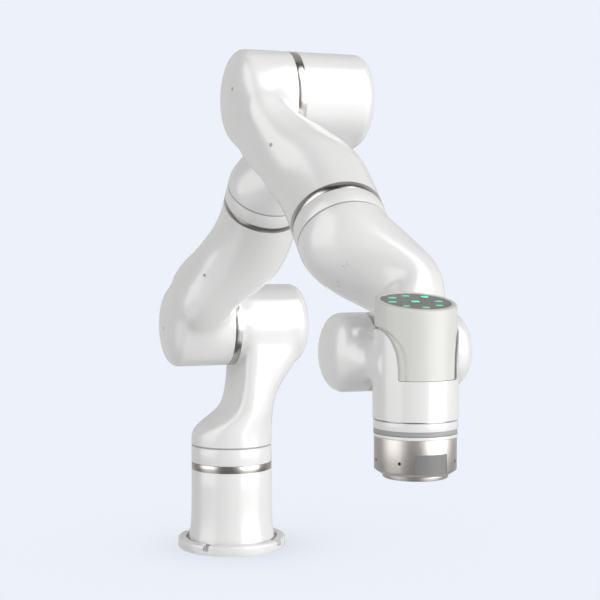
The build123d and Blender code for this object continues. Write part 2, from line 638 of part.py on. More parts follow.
with BuildPart() as flange_body:
    with BuildSketch(Plane(origin=TOOL, x_dir=DOWN, z_dir=X)):
        Polygon((RING_END, 0), (RING_END, FLANGE_BODY_R), (107, FLANGE_BODY_R), (110.5, 34.5),
                (110.5, 32.6), (111.3, 32.6), (111.3, FLANGE_R), (FLANGE_FACE - 1, FLANGE_R),
                (FLANGE_FACE, FLANGE_R - 1), (FLANGE_FACE, 0), align=None)
    revolve(axis=Axis(TOOL, DOWN))
    # drive seat, hollow, pilot bore of the tool interface, cable passage (start, radius, length)
    for start, radius, length in ((75, FLANGE_SEAT_R, 3.6), (78, 31, 24),
                                  (FLANGE_FACE - 6, 15.75, 10), (100, 9, 20)):
        with BuildSketch(TOOL_PLANE.offset(start)):
            Circle(radius)
        extrude(amount=length, mode=Mode.SUBTRACT)
    # four tapped holes and the dowel hole
    with BuildSketch(TOOL_PLANE.offset(FLANGE_FACE - 10)):
        with PolarLocations(TOOL_PITCH_R, 4, start_angle=45):
            Circle(2.5)
    extrude(amount=20, mode=Mode.SUBTRACT)
    with BuildSketch(TOOL_PLANE.offset(FLANGE_FACE - 6)):
        with Locations((TOOL_PITCH_R, 0)):
            Circle(3)
    extrude(amount=20, mode=Mode.SUBTRACT)
    # window of the tool connector at the front
    with BuildSketch(TOOL_FRONT):
        with Locations((0, -CONNECTOR_T)):
            Rectangle(CONNECTOR_W + 0.2, CONNECTOR_H + 0.2)
    extrude(amount=60, mode=Mode.SUBTRACT)
    for angle in SET_SCREW_ANGLES:
        with BuildSketch(set_screw_plane(angle, 0)):
            Circle(SET_SCREW_R)
        extrude(amount=60, mode=Mode.SUBTRACT)
save(flange_body.part, "flange_body")

with BuildPart() as tool_connector:
    with BuildSketch(TOOL_FRONT.offset(26)):
        with Locations((0, -CONNECTOR_T)):
            Rectangle(CONNECTOR_W, CONNECTOR_H)
    extrude(amount=20)
    with BuildSketch(TOOL_PLANE.offset(80)):
        Circle(FLANGE_BODY_R - 0.3)
    extrude(amount=40, mode=Mode.INTERSECT)
save(tool_connector.part, "tool_connector")

with BuildPart() as flange_screws:
    for angle in SET_SCREW_ANGLES:
        with BuildSketch(set_screw_plane(angle, 33)):
            Circle(SET_SCREW_R)
        extrude(amount=5)
save(flange_screws.part, "flange_screws")

# ---------------------------------------------------------------- drives inside the seven joints
PLATE_STEP = SEAT_STEP - SMALL_GAP           # flange plate radius beyond the bore
Y = Vector(0, 1, 0)
BARREL_BORE = BARREL_R - WALL
UPPER_BORE = UPPER_R - WALL
FORE_BORE = FORE_R - WALL
WRIST_BORE = WRIST_R - WRIST_WALL


def drive(name, origin, direction, normal, band, bore, band_bore, spline_bore, shaft_r, length,
          plate_r):
    """Stator, flexspline and rotor of one joint, revolved about the joint axis.

    Profile points are (distance from the interface towards the child link, radius)."""
    plane = Plane(origin=origin, x_dir=direction, z_dir=normal)
    axis = Axis(origin, direction)
    mid = -band - 18                         # shoulder where the stator narrows to the motor
    motor_r = spline_bore - 5
    seat_end = -band - SEAT_DEPTH
    save_revolved(name + "_stator", plane, axis, [
        (-band, bore + PLATE_STEP), (seat_end, bore + PLATE_STEP), (seat_end, bore - 6),
        (-length, bore - 6), (-length, shaft_r + FIT), (-length + 4, shaft_r + FIT),
        (-length + 4, motor_r), (mid, motor_r), (mid, spline_bore), (-band, spline_bore),
    ])
    save_revolved(name + "_flexspline", plane, axis, [
        (GAP + SEAT_DEPTH, plate_r), (GAP, plate_r), (GAP, band_bore - FIT),
        (-4, band_bore - FIT), (-4, spline_bore - 0.5), (mid + 2, spline_bore - 0.5),
        (mid + 2, spline_bore - 3), (-2, spline_bore - 3), (-2, shaft_r + 1.5),
        (GAP + SEAT_DEPTH, shaft_r + 1.5),
    ])
    save_revolved(name + "_rotor", plane, axis, [
        (-length - 8, shaft_r), (-length + 8, shaft_r), (-length + 8, motor_r - 1),
        (mid - 4, motor_r - 1), (mid - 4, shaft_r), (mid + 4, shaft_r),
        (mid + 4, spline_bore - 3.3), (-5, spline_bore - 3.3), (-5, shaft_r), (-3.5, shaft_r),
        (-3.5, shaft_r - 4), (-length - 8, shaft_r - 4),
    ])


# name, interface point, direction from parent to child, profile plane normal, band width,
# casing bore, band bore, spline bore, shaft radius, stator length, child plate radius
DRIVES = [
    ("j1", UP * JOINT1_Z, UP, X, BAND,
     BARREL_BORE, BARREL_R - BAND_DEPTH, 36.0, 13.0, 70.0, BARREL_BORE + PLATE_STEP),
    ("j2", SHOULDER + X * BARREL_JOINT_X, X * -1, Y, BAND,
     BARREL_BORE, BARREL_R - BAND_DEPTH, 36.0, 13.0, 76.0, BARREL_BORE + PLATE_STEP),
    ("j3", SHOULDER + UPPER_DIR * JOINT3_T, UPPER_DIR, X, UPPER_BAND,
     UPPER_BORE, UPPER_R - BAND_DEPTH, 31.5, 11.5, 58.0, UPPER_BORE + PLATE_STEP),
    ("j4", ELBOW + X * BARREL_JOINT_X, X * -1, Y, BAND,
     BARREL_BORE, BARREL_R - BAND_DEPTH, 36.0, 13.0, 68.0, BARREL_BORE + PLATE_STEP),
    ("j5", ELBOW + FORE_DIR * JOINT5_T, FORE_DIR, X, BAND,
     FORE_BORE, FORE_R - BAND_DEPTH, 32.5, 11.5, 58.0, FORE_BORE + PLATE_STEP),
    ("j6", WRIST + X * WRIST_JOINT_X, X * -1, Y, WRIST_BAND,
     WRIST_BORE, WRIST_R - WRIST_BAND_DEPTH, 23.0, 8.5, 66.0, WRIST_BORE + PLATE_STEP),
    ("j7", TOOL + DOWN * JOINT7_T, DOWN, X, JOINT7_T - COLUMN_END,
     COLUMN_BORE_R, J7_BORE_R, 23.5, 8.5, 54.0, FLANGE_SEAT_R - SMALL_GAP),
]
for row in DRIVES:
    drive(*row)
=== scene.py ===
"""A seven-joint robot arm: white castings, steel joint bands, a grip cover with keys, a tool flange.

The pedestal stands on the ground round the +Z axis and the front is -Y. The shoulder, elbow and
wrist barrels lie along X. The upper arm leans forward, the forearm runs forward and down, and the
tool points straight down. Parts are drawn in millimetres and stored in metres.
"""
import bpy, bmesh, json
import numpy as np
from math import sin, cos, radians, pi
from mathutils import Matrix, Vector


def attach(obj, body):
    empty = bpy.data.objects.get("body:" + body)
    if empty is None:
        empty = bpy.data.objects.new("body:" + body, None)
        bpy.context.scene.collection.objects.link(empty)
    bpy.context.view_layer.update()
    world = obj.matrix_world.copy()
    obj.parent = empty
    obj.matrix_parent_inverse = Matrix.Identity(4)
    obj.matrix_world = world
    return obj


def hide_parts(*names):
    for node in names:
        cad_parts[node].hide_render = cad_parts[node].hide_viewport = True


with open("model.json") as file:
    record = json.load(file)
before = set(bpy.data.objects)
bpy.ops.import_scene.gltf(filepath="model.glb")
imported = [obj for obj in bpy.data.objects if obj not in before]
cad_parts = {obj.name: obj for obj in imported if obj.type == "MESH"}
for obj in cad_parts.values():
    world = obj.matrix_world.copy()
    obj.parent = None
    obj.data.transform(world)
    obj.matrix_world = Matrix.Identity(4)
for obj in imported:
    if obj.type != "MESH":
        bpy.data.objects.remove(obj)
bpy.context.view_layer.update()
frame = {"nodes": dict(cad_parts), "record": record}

scene = bpy.context.scene

# ------------------------------------------------------------------ driving dimensions
SHOULDER_HEIGHT = 320.0
UPPER_ARM_LENGTH = 400.0
FOREARM_LENGTH = 420.0
TOOL_REACH = 67.0                  # wrist axis to tool axis, forward
ARM_LEAN = radians(43.0)           # upper arm from vertical, forward
ELBOW_BEND = radians(90.0)

BARREL_RADIUS = 58.0               # shoulder and elbow barrels, and the pedestal tube
WRIST_RADIUS = 39.5
UPPER_TUBE_RADIUS = 52.0
FOREARM_TUBE_RADIUS = 53.0

X = np.array([1.0, 0, 0])
Y = np.array([0, 1.0, 0])
Z = np.array([0, 0, 1.0])
FORWARD, DOWN = -Y, -Z
UPPER = np.array([0, -sin(ARM_LEAN), cos(ARM_LEAN)])     # from shoulder to elbow
FORE = np.array([0, -sin(ARM_LEAN + ELBOW_BEND), cos(ARM_LEAN + ELBOW_BEND)])  # elbow to wrist
BASE = np.zeros(3)
SHOULDER = BASE + SHOULDER_HEIGHT * Z
ELBOW = SHOULDER + UPPER_ARM_LENGTH * UPPER
WRIST = ELBOW + FOREARM_LENGTH * FORE
TOOL = WRIST + TOOL_REACH * FORWARD

painted = []                       # (part, material key), painted once the materials exist


def register(part, body, slot, node=None, look=None):
    """Tells the frame what a part replaces, rides on and is made of."""
    if node:
        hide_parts(node)
    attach(part, body)
    painted.append((part, look or slot))


# ------------------------------------------------------------------ implicit surface mesher
def surface_nets(body, cut, low, high, step):
    """Points and quads of max(body, cut) = 0 in a box, and which of the surfaces each point meets."""
    low, high = np.array(low, float), np.array(high, float)
    count = np.ceil((high - low) / step).astype(int) + 1
    ticks = [low[i] + step * np.arange(count[i]) for i in range(3)]
    body_value = np.empty(count, np.float32)
    cut_value = np.empty(count, np.float32)
    for i in range(0, count[0], 16):    # in slices, to save memory
        grid = np.meshgrid(ticks[0][i:i + 16], ticks[1], ticks[2], indexing="ij")
        body_value[i:i + 16] = body(*grid)
        cut_value[i:i + 16] = cut(*grid)
    value = np.maximum(body_value, cut_value)
    inside = value < 0
    cells = count - 1
    offset_sum = np.zeros(tuple(cells) + (3,), np.float32)
    body_hits = np.zeros(tuple(cells), np.int16)
    cut_hits = np.zeros(tuple(cells), np.int16)

    def corner_view(corner):
        return tuple(slice(corner[i], corner[i] + cells[i]) for i in range(3))

    for start in [(i, j, k) for i in (0, 1) for j in (0, 1) for k in (0, 1)]:
        for axis in range(3):
            if start[axis]:
                continue
            end = list(start)
            end[axis] = 1
            one, two = corner_view(start), corner_view(end)
            first, second = value[one], value[two]
            crossed = (first < 0) != (second < 0)
            share = np.where(crossed, first / np.where(crossed, first - second, 1.0), 0.0)
            for k in range(3):
                offset = start[k] + (share if k == axis else 0.0)
                offset_sum[..., k] += np.where(crossed, offset, 0.0)
            on_cut = (cut_value[one] * (1 - share) + cut_value[two] * share
                      > body_value[one] * (1 - share) + body_value[two] * share)
            body_hits += crossed & ~on_cut
            cut_hits += crossed & on_cut
    hits = body_hits + cut_hits
    active = hits > 0
    ids = -np.ones(tuple(cells), np.int64)
    ids[active] = np.arange(active.sum())
    points = low + step * (np.argwhere(active) + offset_sum[active] / hits[active][:, None])

    quads = []
    for axis in range(3):
        side_a, side_b = (axis + 1) % 3, (axis + 2) % 3
        near, far = [slice(None)] * 3, [slice(None)] * 3
        near[axis] = slice(0, count[axis] - 1)
        far[axis] = slice(1, count[axis])
        starts_inside = inside[tuple(near)]
        changes = np.argwhere(starts_inside != inside[tuple(far)])
        interior = np.ones(len(changes), bool)
        for k in (side_a, side_b):
            interior &= (changes[:, k] > 0) & (changes[:, k] < count[k] - 1)
        changes = changes[interior]
        corners = []
        for step_a, step_b in ((-1, -1), (0, -1), (0, 0), (-1, 0)):
            cell = changes.copy()
            cell[:, side_a] += step_a
            cell[:, side_b] += step_b
            corners.append(ids[tuple(cell.T)])
        corners = np.stack(corners, 1)
        flip = ~starts_inside[tuple(changes.T)]
        corners[flip] = corners[flip][:, ::-1]
        quads.append(corners)
    return points, np.concatenate(quads), body_hits[active] > 0, cut_hits[active] > 0


def gradient(field, points, reach=0.15):
    slope = np.zeros_like(points)
    for k in range(3):
        shift = np.zeros(3)
        shift[k] = reach
        ahead, behind = points + shift, points - shift
        slope[:, k] = (field(*ahead.T) - field(*behind.T)) / (2 * reach)
    return slope


def newton(field, points, rounds, cap=1.5):
    """Walks points onto the zero surface of a field, no more than cap in one round."""
    for _ in range(rounds):
        slope = gradient(field, points)
        value = field(*points.T)
        move = (value / np.maximum((slope * slope).sum(1), 1e-6))[:, None] * slope
        length = np.linalg.norm(move, axis=1, keepdims=True)
        points = points - move * np.minimum(1, cap / np.maximum(length, 1e-9))
    return points


def implicit_mesh(body, cut, low, high, step, relax_rounds=5, relax_share=0.6):
    """Mesh of body minus the cut, with crisp edges where they meet and evenly spread vertices."""
    points, quads, meets_body, meets_cut = surface_nets(body, cut, low, high, step)
    body_only, cut_only, crease = ~meets_cut, ~meets_body, meets_body & meets_cut

    def settle(points, rounds):
        points[body_only] = newton(body, points[body_only], rounds)
        points[cut_only] = newton(cut, points[cut_only], rounds)
        if crease.any():
            shared = points[crease]
            for _ in range(rounds + 2):
                shared = newton(body, shared, 1)
                shared = newton(cut, shared, 1)
            points[crease] = shared
        return points

    def neighbour_mean(points, edges):
        size = len(points)
        degree = np.bincount(edges[:, 0], minlength=size)[:, None]
        sums = np.stack([np.bincount(edges[:, 0], points[edges[:, 1], k], size)
                         for k in range(3)], 1)
        return np.where(degree > 0, sums / np.maximum(degree, 1), points)

    points = settle(points, 2)
    edges = np.concatenate([quads[:, [i, (i + 1) % 4]] for i in range(4)])
    edges = np.concatenate([edges, edges[:, ::-1]])
    crease_edges = edges[crease[edges[:, 0]] & crease[edges[:, 1]]]
    for _ in range(relax_rounds):
        target = neighbour_mean(points, edges)
        if len(crease_edges):
            target[crease] = neighbour_mean(points, crease_edges)[crease]
        points = settle(points + relax_share * (target - points), 1)
    return settle(points, 2), quads


# ------------------------------------------------------------------ fields: below 0 is solid
def smooth_min(first, second, blend):
    share = np.clip(0.5 + 0.5 * (second - first) / blend, 0, 1)
    return second * (1 - share) + first * share - blend * share * (1 - share)


def smooth_table(rows, sigma=5.0, step=0.5, margin=40):
    """Gaussian-smoothed table: gives a function of the first column returning the others."""
    rows = np.array(rows, float)
    rows = rows[np.argsort(rows[:, 0])]
    samples = np.arange(rows[0, 0] - margin, rows[-1, 0] + margin, step)
    half = int(3 * sigma / step)
    weights = np.exp(-0.5 * (np.arange(-half, half + 1) * step / sigma) ** 2)
    weights /= weights.sum()
    columns = []
    for c in range(1, rows.shape[1]):
        raw = np.pad(np.interp(samples, rows[:, 0], rows[:, c]), half, mode="edge")
        columns.append(np.convolve(raw, weights, mode="valid"))
    return lambda at: [np.interp(at, samples, column) for column in columns]


def neck_field(sections, x, y, t, inset=0.0, skew=None):
    """Distance from a tube of superellipse sections along t.

    skew gives the x shift and the depth share of the half with y above 0.
    """
    values = sections(t)
    x_min, x_max, depth = values[0] + inset, values[1] - inset, values[2] - inset
    power = values[3]
    centre, half = (x_min + x_max) / 2, np.maximum((x_max - x_min) / 2, 1.0)
    across = y - (values[4] if len(values) > 4 else 0.0)
    if skew is not None:
        shift, depth_share = skew(t)
        rise = np.clip(across / depth, 0, 1)
        centre = centre - shift * rise * rise * (3 - 2 * rise)
        across = np.where(across > 0, across / depth_share, across)
    depth = np.maximum(depth, 1.0)
    if len(values) > 5:
        power = np.where(x < centre, values[5], power)
    ratio = ((np.abs(x - centre) / half) ** power
             + (np.abs(across) / depth) ** power + 1e-12) ** (1 / power)
    return (ratio - 1) * np.minimum(half, depth)


def barrel_field(x, r, radius, dome_start, dome_length, inset=0.0, power=2.4):
    """Barrel about the x axis with a domed end beyond dome_start, towards dome_length's sign."""
    sign = 1.0 if dome_length > 0 else -1.0
    along = np.maximum((x - dome_start) * sign, 0.0) / (abs(dome_length) - inset)
    ratio = (along ** power + (np.maximum(r, 0) / (radius - inset)) ** power
             + 1e-12) ** (1 / power)
    return (ratio - 1) * (radius - inset)


# ------------------------------------------------------------------ mesh pieces
def new_object(name, vertices, faces, sharp, validate=False):
    """Smooth-shaded object from metre points, with edges above sharp degrees kept hard."""
    mesh = bpy.data.meshes.new(name)
    mesh.from_pydata(vertices, [], faces)
    if validate:
        mesh.validate()
    part = bpy.data.objects.new(name, mesh)
    scene.collection.objects.link(part)
    work = bmesh.new()
    work.from_mesh(mesh)
    bmesh.ops.recalc_face_normals(work, faces=work.faces)
    for face in work.faces:
        face.smooth = True
    work.to_mesh(mesh)
    work.free()
    mesh.set_sharp_from_angle(angle=radians(sharp))
    return part


CAST_SHARP = 38                    # degrees


def cast(name, points, quads, origin, x_axis, y_axis, z_axis):
    """Object from local points of the implicit mesher."""
    world = (origin + points[:, :1] * x_axis + points[:, 1:2] * y_axis
             + points[:, 2:3] * z_axis) / 1000.0
    if np.dot(np.cross(x_axis, y_axis), z_axis) < 0:
        quads = quads[:, ::-1]
    return new_object(name, world.tolist(), quads.tolist(), CAST_SHARP, validate=True)


def split_cap(part, name, centre, cap_x, max_radius):
    """Moves the domed barrel end beyond cap_x into its own piece."""
    centre = centre / 1000.0
    plane_x = centre[0] + cap_x / 1000
    body = bmesh.new()
    body.from_mesh(part.data)
    bmesh.ops.bisect_plane(body, geom=body.verts[:] + body.edges[:] + body.faces[:],
                           plane_co=(plane_x, 0, 0), plane_no=(1, 0, 0))
    dome = []
    for face in body.faces:
        c = face.calc_center_median()
        radius = ((c.y - centre[1]) ** 2 + (c.z - centre[2]) ** 2) ** 0.5
        if c.x > plane_x and radius < max_radius / 1000:
            dome.append(face)
    body.faces.index_update()
    kept = {face.index for face in dome}
    other = body.copy()
    other.faces.ensure_lookup_table()
    rest = [face for face in other.faces if face.index not in kept]
    bmesh.ops.delete(other, geom=rest, context="FACES")
    bmesh.ops.delete(body, geom=dome, context="FACES")
    body.to_mesh(part.data)
    body.free()
    mesh = bpy.data.meshes.new(name)
    other.to_mesh(mesh)
    other.free()
    for data in (mesh, part.data):
        data.set_sharp_from_angle(angle=radians(CAST_SHARP))
    cap = bpy.data.objects.new(name, mesh)
    scene.collection.objects.link(cap)
    return cap


def lathe(name, origin, axis, profile, segments=192):
    """Revolved piece from a closed profile of (distance along the axis, radius) points."""
    side = X if abs(axis[0]) < 0.9 else Y
    other = np.cross(axis, side)
    size = len(profile)
    vertices, faces = [], []
    for i in range(segments):
        turn = 2 * pi * i / segments
        spoke = cos(turn) * side + sin(turn) * other
        for along, radius in profile:
            vertices.append(((origin + axis * along + spoke * radius) / 1000).tolist())
    for i in range(segments):
        j = (i + 1) % segments
        for k in range(size):
            m = (k + 1) % size
            faces.append((i * size + k, i * size + m, j * size + m, j * size + k))
    return new_object(name, vertices, faces, 30)


def ring_profile(start, end, radius, depth, bevel):
    edge = [(0, depth), (0, bevel), (bevel * 0.3, bevel * 0.3), (bevel, 0)]
    return ([(start + along, radius - inward) for along, inward in edge]
            + [(end - along, radius - inward) for along, inward in reversed(edge)])


def slab(name, outline, bottom, top, bevel, plane):
    """Plate with a rounded top edge; plane is (origin, x axis, y axis, normal)."""
    origin, x_axis, y_axis, normal = plane
    points = np.array(outline, float)
    tangent = np.roll(points, -1, 0) - np.roll(points, 1, 0)
    outward = np.stack([tangent[:, 1], -tangent[:, 0]], 1)
    outward /= np.linalg.norm(outward, axis=1, keepdims=True)
    rings = [(bottom, 0.0)]
    for i in range(5):
        turn = pi / 2 * i / 4
        rings.append((top - bevel + bevel * sin(turn), bevel * (1 - cos(turn))))
    vertices, faces, size = [], [], len(points)
    for height, inset in rings:
        for x, y in points - outward * inset:
            place = origin + x_axis * x + y_axis * y + normal * height
            vertices.append((place / 1000).tolist())
    for k in range(len(rings) - 1):
        for i in range(size):
            j = (i + 1) % size
            faces.append((k * size + i, k * size + j, (k + 1) * size + j, (k + 1) * size + i))
    faces.append(tuple(range(size))[::-1])
    faces.append(tuple((len(rings) - 1) * size + i for i in range(size)))
    return new_object(name, vertices, faces, 40)


def circle(radius, steps, centre=(0, 0)):
    return [(centre[0] + radius * cos(2 * pi * i / steps),
             centre[1] + radius * sin(2 * pi * i / steps)) for i in range(steps)]


def stadium(low, high, half_width, steps, angle=0.0, centre=(0, 0)):
    """Round-ended outline with arc centres at low and high on a line turned by angle."""
    outline = []
    for sign, end in ((1, high), (-1, low)):
        for i in range(steps + 1):
            turn = -pi / 2 + pi * i / steps
            x, y = end + sign * half_width * cos(turn), sign * half_width * sin(turn)
            outline.append((centre[0] + x * cos(angle) - y * sin(angle),
                            centre[1] + x * sin(angle) + y * cos(angle)))
    return outline


CUTTER_BEVEL = 0.02


def carve(part, cutters):
    """Cuts closed shapes out of a piece and drops them."""
    for cutter in cutters:
        modifier = part.modifiers.new("cut", "BOOLEAN")
        modifier.operation = "DIFFERENCE"
        modifier.solver = "EXACT"
        modifier.object = cutter
    bpy.context.view_layer.update()
    evaluated = part.evaluated_get(bpy.context.evaluated_depsgraph_get())
    mesh = bpy.data.meshes.new_from_object(evaluated)
    part.modifiers.clear()
    part.data = mesh
    for cutter in cutters:
        bpy.data.objects.remove(cutter)
    mesh.set_sharp_from_angle(angle=radians(30))


# ------------------------------------------------------------------ link castings
# Stations along each link: t, lowest x, highest x, half depth in y, superellipse power,
# and for the shoulder also the y offset and the power of the low-x half.
SHOULDER_STATIONS = [
    (149.1, -58, 58, 58, 2, 0, 2), (166, -58, 58, 58, 2, 0, 2),
    (172, -52.5, 58, 58, 2, 0, 2.1), (177.5, -45, 58, 57.9, 2, 0, 2.3),
    (186, -29.7, 58, 57.8, 2.05, 0, 2.7), (195, -14, 58, 57.7, 2.1, 0, 3.3),
    (204, -6.5, 58.2, 57.7, 2.15, 0, 4.0), (211, -3.2, 59, 57.7, 2.15, 0, 4.6),
    (220, -0.5, 61.5, 57.7, 2.2, 0, 5.4), (227, 1, 65, 57.7, 2.2, 0, 6),
    (235, 2.5, 69, 57.7, 2.2, 0, 6.5), (243, 3.5, 74, 57.7, 2.3, 0, 7),
    (258, 4.5, 85.5, 57.7, 2.4, 0, 7.5), (270, 5.5, 93, 57.6, 2.4, 0, 8),
    (283, 6, 97, 57.3, 2.4, 0, 8), (297, 6, 97, 57, 2.4, 0, 8), (320, 6, 90, 56, 2.4, 0, 8)]
UPPER_ARM_LOWER_STATIONS = [
    (225, -52, 52, 52, 2), (205, -52, 52, 52, 2), (190, -53.5, 51.5, 52, 2),
    (172, -57, 50.5, 52, 2), (158, -61.2, 49.1, 52, 2), (146, -66, 47.5, 52.3, 2),
    (132, -71, 42.5, 53, 2.05), (120, -74.8, 34.5, 53.7, 2.1), (104, -81, 17, 54.5, 2.2),
    (91.7, -86, 4, 55.2, 2.3), (79, -91, -4.5, 55.8, 2.35), (65, -95, -11.5, 56, 2.4),
    (50, -96.5, -15, 54.5, 2.4), (25, -92, -20, 49, 2.4), (0, -84, -24, 40, 2.4)]
UPPER_ARM_UPPER_STATIONS = [
    (255.8, -52, 52, 52, 2), (263, -52, 52, 52, 2), (271, -49.5, 53.2, 52.1, 2),
    (281, -44, 55.6, 52.4, 2), (295, -33, 58.9, 53, 2.05), (309, -17.6, 62.4, 53.7, 2.1),
    (320, -4.5, 66, 54.3, 2.15), (335, 2.5, 72, 55, 2.25), (350, 5, 78, 55.6, 2.35),
    (366, 8, 82, 54, 2.4), (384, 11, 80, 49, 2.4), (400, 15, 72, 40, 2.4)]
FOREARM_UPPER_STATIONS = [
    (218.5, -53, 53, 53, 2), (205, -53, 53, 53, 2), (188, -53.5, 52.8, 53, 2),
    (166, -55.8, 52.3, 53, 2), (140, -62.3, 50.2, 53.5, 2), (127, -65.5, 48.3, 53.8, 2.05),
    (112, -68.6, 43.5, 54.3, 2.1), (98, -70.8, 33, 55, 2.2), (84, -72.7, 17, 55.6, 2.25),
    (70, -74.4, 1, 56, 2.35), (58, -76, -9, 56, 2.4), (40, -76, -15, 53.5, 2.4),
    (20, -72, -20, 47, 2.4), (0, -66, -24, 38, 2.4)]
FOREARM_LOWER_STATIONS = [
    (252.5, -53, 53, 53, 2), (258, -53, 53.5, 53, 2), (267, -52.8, 60, 52.5, 2),
    (285, -47, 71, 51, 2), (301, -33, 79, 49.5, 2.0), (317, -10, 83.5, 48, 2.05),
    (330, 7, 84.5, 46.5, 2.1), (346, 17, 84, 44, 2.2), (362, 12, 80, 40, 2.3),
    (380, 0, 72, 35, 2.35), (400, -8, 62, 30, 2.4), (420, -8, 52, 26, 2.4)]
# t, shift towards low x, depth share of the half with y above 0
FOREARM_SKEW = [
    (0, 0, 1), (25, 2, 0.97), (50, 9, 0.86), (70, 13, 0.78), (84, 13, 0.75), (98, 12, 0.77),
    (112, 10, 0.82), (127, 6, 0.9), (145, 2, 0.97), (166, 0, 1), (225, 0, 1)]


def link(name, number, origin, along, stations, tube_end, barrel_at, open_x, dome_start,
         dome_length, low, high, radius=BARREL_RADIUS, wall=6.0, blend=13.0, face_reach=75.0,
         skew=None, cap=None):
    """Hollow casting, a tube running into a barrel: x along the barrel, t along the tube.

    It is cut off at tube_end and, within face_reach of the barrel axis, at open_x.
    cap is the (name, node) of the domed end where it is a piece of its own.
    """
    sections = smooth_table(stations)
    facing = 1.0 if dome_length > 0 else -1.0
    side = 1 if tube_end < barrel_at else -1

    def shells(x, y, t, inset, overrun):
        r = np.sqrt(y * y + (t - barrel_at) ** 2)
        barrel = np.maximum(barrel_field(x, r, radius, dome_start, dome_length, inset),
                            (open_x - facing * overrun - x) * facing)
        neck = np.maximum(neck_field(sections, x, y, t, inset, skew), (t - barrel_at) * side)
        return barrel, neck

    def body(x, y, t):
        return smooth_min(*shells(x, y, t, inset=0.0, overrun=4), blend)

    def cut(x, y, t):
        r = np.sqrt(y * y + (t - barrel_at) ** 2)
        face = np.minimum((open_x - x) * facing, face_reach - r)
        hollow = np.minimum(*shells(x, y, t, inset=wall, overrun=20))
        return np.maximum(np.maximum((tube_end - t) * side, face), -hollow)

    points, quads = implicit_mesh(body, cut, low, high, step=2.0)
    casting = cast(name, points, quads, origin, X, np.cross(along, X), along)
    body_name = "link%d" % number
    if cap:
        cap_part = split_cap(casting, cap[0], origin + barrel_at * along, dome_start, radius + 2)
    register(casting, body_name, "white", body_name + "_casing")
    if cap:
        register(cap_part, body_name, "white", cap[1])
    return casting


link("shoulder_casting", 1, BASE, Z, SHOULDER_STATIONS, tube_end=149.1,
     barrel_at=SHOULDER_HEIGHT, open_x=1.0, dome_start=84.5, dome_length=25.0,
     low=(-62, -62, 144), high=(114, 62, 382), blend=6.0, cap=("shoulder_end_cap", "j2_cap"))
upper_arm_lower = link(
    "upper_arm_lower_casting", 2, SHOULDER, UPPER, UPPER_ARM_LOWER_STATIONS, tube_end=225.0,
    barrel_at=0.0, open_x=-9.3, dome_start=-78.0, dome_length=-24.0,
    low=(-108, -62, -64), high=(58, 62, 230))
link("upper_arm_upper_casting", 3, SHOULDER, UPPER, UPPER_ARM_UPPER_STATIONS, tube_end=255.8,
     barrel_at=UPPER_ARM_LENGTH, open_x=1.0, dome_start=76.0, dome_length=22.0,
     low=(-58, -62, 250), high=(104, 62, 462), cap=("elbow_end_cap", "j4_cap"))
forearm_upper = link(
    "forearm_upper_casting", 4, ELBOW, FORE, FOREARM_UPPER_STATIONS, tube_end=218.5,
    barrel_at=0.0, open_x=-9.3, dome_start=-60.0, dome_length=-24.0,
    low=(-90, -62, -64), high=(60, 62, 224), skew=smooth_table(FOREARM_SKEW))
link("forearm_lower_casting", 5, ELBOW, FORE, FOREARM_LOWER_STATIONS, tube_end=252.5,
     barrel_at=FOREARM_LENGTH, open_x=-21.4, dome_start=62.5, dome_length=21.5,
     low=(-60, -60, 247), high=(92, 60, 466), radius=WRIST_RADIUS, wall=5.0, blend=12.0,
     face_reach=46.0, cap=("wrist_barrel_end_cap", "j6_cap"))

# White collars between the metal band and the grey seal of the tube joints:
# name, origin, axis, start, end, radius, body
COLLARS = [
    ("shoulder_collar", BASE, Z, 123.1, 146.5, BARREL_RADIUS, "link1"),
    ("upper_arm_collar", SHOULDER, UPPER, 233.6, 253.2, UPPER_TUBE_RADIUS, "link3"),
    ("forearm_collar", ELBOW, FORE, 228.8, 249.9, FOREARM_TUBE_RADIUS, "link5")]
for name, origin, axis, start, end, radius, body_name in COLLARS:
    profile = ring_profile(start, end, radius, depth=6, bevel=0.5)
    register(lathe(name, origin, axis, profile, segments=160), body_name, "white")

# ------------------------------------------------------------------ wrist casting
# Wrist fields use x along the wrist axis, y forward and z up, all from the wrist axis.
# Neck stations: y, lowest x, highest x, half height, superellipse power, z of the middle
NECK_STATIONS = [
    (-20, -60, -34, 30, 2.4, 0.0), (0, -66, -31, 36, 2.5, 0.0), (14, -67, -30, 36.3, 2.5, -0.5),
    (28, -62.5, -28.5, 26, 2.4, -1.5), (41, -57, -24, 17.5, 2.2, -3.5),
    (52, -50, -10, 14.5, 2.1, -5.5), (64, -43, 6, 14, 2.0, -6.5), (80, -30, 6, 12, 2.0, -6.5)]
# Lower front part of the grip cover, seen from the front: z, half width
COVER_OUTLINE = np.array(
    [(-24, 30), (-8, 30.2), (6, 31.6), (17, 34.8), (24.5, 38.3), (28.5, 42)], float)
COVER_INNER = [(-24, 22.8), (-8, 23), (6, 24.8), (15.5, 28.6), (24.2, 34.8), (29.5, 40)]
COVER_BOTTOM = -20.0

WRIST_DOME = dict(radius=WRIST_RADIUS, dome_start=-48.0, dome_length=-21.5)
WRIST_FACE_X = -23.3               # flat side of the wrist barrel
WRIST_WALL = 5.0
COLUMN_RADIUS = 41.2
COLUMN_BORE = 35.0
COLUMN_BOTTOM, COLUMN_TOP = -58.2, 27.0
SEAT_RADIUS = 35.8                 # column skin behind the grip cover
SEAT_GAP = 0.3                     # round the cover outline, and below it
SCOOP_RADIUS, SCOOP_X = 41.0, -27.3  # clearance for the forearm's wrist barrel

neck_sections = smooth_table(NECK_STATIONS, sigma=4.0)


def wrist_radii(x, y, z):
    """Distances from the wrist axis and from the tool axis."""
    return np.sqrt(y * y + z * z), np.sqrt(x * x + (y - TOOL_REACH) ** 2)


